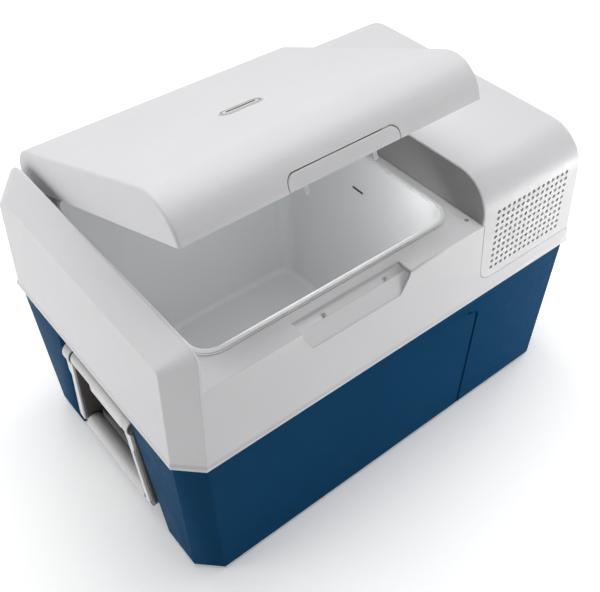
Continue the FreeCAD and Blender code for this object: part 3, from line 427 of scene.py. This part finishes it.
def make_badge():
    """Blank plate on the lid: rounded rim, a fine groove inside it and one plain raised bar, with a dark band
    set down in the groove as painted shade.
    """
    mesh = NODES["lid_badge"].data
    top = max((face for face in mesh.polygons if face.normal.z > 0.5), key=lambda face: face.area)
    normal = top.normal.copy()
    heights = [vert.co.dot(normal) for vert in mesh.vertices]
    upright = max(heights)
    across = normal.cross(Vector((1, 0, 0))).normalized()
    spans = [[vert.co.dot(axis) for vert in mesh.vertices] for axis in (Vector((1, 0, 0)), across)]
    middle = [(max(span) + min(span)) / 2 for span in spans]
    half_x, half_y = ((max(span) - min(span)) / 2 for span in spans)

    def place(x, y, height):
        return Vector((1, 0, 0)) * (middle[0] + x) + across * (middle[1] + y) + normal * (upright + height)

    thick = upright - min(heights)
    plate = bmesh.new()
    add_pill(plate, place, half_x, half_y, [(0, -thick), (0, -0.5 * MM), (0.15 * MM, -0.15 * MM),
             (0.5 * MM, 0), (1.8 * MM, 0), (2.0 * MM, -1.0 * MM), (3.6 * MM, -1.0 * MM),
             (3.8 * MM, -0.1 * MM)])
    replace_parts(add_piece("lid_badge_plate", plate, "lid_badge"), "lid_badge")

    bar_and_groove_shade = bmesh.new()
    add_pill(bar_and_groove_shade, place, half_x - 8.5 * MM, 1.8 * MM, [(0, -0.3 * MM), (0, 0.2 * MM), (0.3 * MM, 0.5 * MM)])
    # dark band lining the groove: painted shade of the groove, not a part of its own
    add_band(bar_and_groove_shade, place, half_x - 1.9 * MM, half_y - 1.9 * MM, 1.5 * MM, (-1.05 * MM, -0.2 * MM))
    add_piece("lid_badge_bar_and_groove_shade", bar_and_groove_shade, "lid_badge", slot="dark_bracket")


def make_ledge_plug():
    """Small dark plug let into the ledge beside the hood's front corner."""
    frame_mesh = NODES["upper_frame"].data
    tree = BVHTree.FromPolygons([vert.co for vert in frame_mesh.vertices],
                                [face.vertices for face in frame_mesh.polygons])
    hit = tree.ray_cast(Vector(ABOVE_PLUG), Vector((0, 0, -1)))[0]

    def place(x, y, height):
        return hit + Vector((x, y, height))

    plug = bmesh.new()
    add_pill(plug, place, PLUG_HALF_X, PLUG_HALF_Y, [(0, -0.6 * MM), (0, 0.02 * MM),
             (0.4 * MM, 0.15 * MM), (1.2 * MM, 0.15 * MM), (1.5 * MM, -0.2 * MM)])
    add_piece("ledge_plug", plug, "upper_frame", slot=SLOT_OF["rubber_feet"])


def plain_node(node):
    """Gives a CAD node that stays as it is the material of its slot."""
    thing = NODES[node]
    thing.data.materials.clear()
    thing.data.materials.append(MATERIALS[SLOT_OF[node]])


# ---- stage and light ----------------------------------------------------------------------
def make_floor():
    """Pale round studio floor that curves up into a low wall all round."""
    shader = Shader("floor", (0.97, 0.97, 0.97), 0.8, specular=0.2)
    shader.tint(0.006, 3.0)
    shader.bsdf.inputs["Emission Color"].default_value = (1, 1, 1, 1)
    shader.bsdf.inputs["Emission Strength"].default_value = FLOOR_GLOW
    segments, bend_steps = 64, 8
    profile = [(FLOOR_MIDDLE, FLOOR_LEVEL), (FLOOR_RADIUS, FLOOR_LEVEL)]
    for step in range(1, bend_steps + 1):
        angle = math.pi / 2 * step / bend_steps
        profile.append((FLOOR_RADIUS + FLOOR_BEND * math.sin(angle),
                        FLOOR_LEVEL + FLOOR_BEND * (1 - math.cos(angle))))
    profile.append((FLOOR_RADIUS + FLOOR_BEND, FLOOR_WALL))
    mesh = bmesh.new()
    rings = [[mesh.verts.new((radius * math.cos(2 * math.pi * index / segments),
                              radius * math.sin(2 * math.pi * index / segments), height))
              for index in range(segments)] for radius, height in profile]
    for inner, outer in zip(rings, rings[1:]):
        for index in range(segments):
            after = (index + 1) % segments
            mesh.faces.new((inner[index], outer[index], outer[after], inner[after]))
    mesh.faces.new(rings[0])
    data = bpy.data.meshes.new("floor")
    mesh.to_mesh(data)
    mesh.free()
    data.shade_smooth()
    data.materials.append(shader.material)
    floor = bpy.data.objects.new("floor", data)
    bpy.context.scene.collection.objects.link(floor)


def area_light(name, place, aim, size, power):
    data = bpy.data.lights.new(name, "AREA")
    data.shape = "RECTANGLE"
    data.size, data.size_y = size
    data.energy = power
    light = bpy.data.objects.new(name, data)
    bpy.context.scene.collection.objects.link(light)
    light.location = place
    light.rotation_euler = (Vector(aim) - Vector(place)).to_track_quat("-Z", "Y").to_euler()


LIGHTS = (   # name, place, aim, size across and along, watts
    ("top", (0.2, 0.2, 2.6), (0, 0, 0.2), (2.4, 2.4), 58),
    ("back", (0.1, 2.2, 1.9), (0, 0, 0.3), (2.0, 1.6), 12),
    ("left", (-2.4, 0.9, 0.9), (0, 0, 0.2), (1.6, 1.4), 20),
    ("right", (2.4, 0.0, 0.9), (0, 0, 0.2), (1.6, 1.4), 16),
    ("right_front", (1.0, -0.9, 0.15), (0.3, -0.2, 0.15), (0.5, 0.25), 6),
    ("tub_lamp", (-0.09, -0.150, 0.405), (-0.09, 0.05, 0.1), (0.30, 0.02), 0.22),
)


def make_light():
    for light in LIGHTS:
        area_light(*light)
    world = bpy.data.worlds.new("studio")
    world.use_nodes = True
    background = world.node_tree.nodes["Background"]
    background.inputs["Color"].default_value = (1.0, 1.0, 1.0, 1)
    background.inputs["Strength"].default_value = 0.01
    bpy.context.scene.world = world
    bpy.context.scene.view_settings.view_transform = "Standard"


make_camera()
for node in sorted(NODES):
    if node in SOFT_EDGES:
        soften(node, SOFT_EDGES[node] * MM)
    elif node != "lid_badge":
        plain_node(node)
make_badge()
make_ledge_plug()
make_floor()
make_light()
